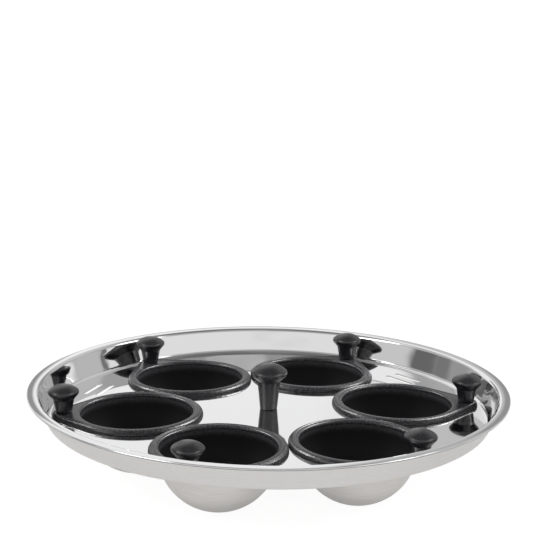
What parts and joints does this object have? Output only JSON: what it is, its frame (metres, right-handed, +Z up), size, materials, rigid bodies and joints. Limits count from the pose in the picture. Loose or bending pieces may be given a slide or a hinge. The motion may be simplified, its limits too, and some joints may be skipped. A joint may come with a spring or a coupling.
{
  "type": "egg poacher insert",
  "caption": "Round pressed-steel egg poaching tray that hangs by its flange in a wide pan, with lift-out non-stick cups, small knobs and a central lifting knob.",
  "frame": {"origin": "centre of the ring where the underside of the tray's flange rests on the pan's rim", "axes": "+Z up along the tray's axis; +X from the centre through cup 1, the other cups follow anticlockwise every 60 degrees"},
  "size_m": [0.292, 0.292, 0.0644],
  "materials": {
    "steel": "mirror-polished inside, satin outside",
    "cup": "black non-stick inside and on the flange, bare satin outside the bowl",
    "knob": "satin black moulded",
    "screw": "plain steel"
  },
  "bodies": {
    "insert": {"tray": "steel", "centre_knob": "knob", "centre_washer": "screw", "centre_screw": "screw"},
    "egg_cup_1": {"cup_1": "cup", "cup_knob_1": "knob", "cup_screw_1": "screw"},
    "egg_cup_2": {"cup_2": "cup", "cup_knob_2": "knob", "cup_screw_2": "screw"},
    "egg_cup_3": {"cup_3": "cup", "cup_knob_3": "knob", "cup_screw_3": "screw"},
    "egg_cup_4": {"cup_4": "cup", "cup_knob_4": "knob", "cup_screw_4": "screw"},
    "egg_cup_5": {"cup_5": "cup", "cup_knob_5": "knob", "cup_screw_5": "screw"},
    "egg_cup_6": {"cup_6": "cup", "cup_knob_6": "knob", "cup_screw_6": "screw"}
  },
  "joints": [
    {"name": "cup_1_lift", "type": "slide", "parent": "insert", "child": "egg_cup_1", "axis": [0, 0, 1], "range_m": [0, 0.07]},
    {"name": "cup_2_lift", "type": "slide", "parent": "insert", "child": "egg_cup_2", "axis": [0, 0, 1], "range_m": [0, 0.07]},
    {"name": "cup_3_lift", "type": "slide", "parent": "insert", "child": "egg_cup_3", "axis": [0, 0, 1], "range_m": [0, 0.07]},
    {"name": "cup_4_lift", "type": "slide", "parent": "insert", "child": "egg_cup_4", "axis": [0, 0, 1], "range_m": [0, 0.07]},
    {"name": "cup_5_lift", "type": "slide", "parent": "insert", "child": "egg_cup_5", "axis": [0, 0, 1], "range_m": [0, 0.07]},
    {"name": "cup_6_lift", "type": "slide", "parent": "insert", "child": "egg_cup_6", "axis": [0, 0, 1], "range_m": [0, 0.07]}
  ]
}
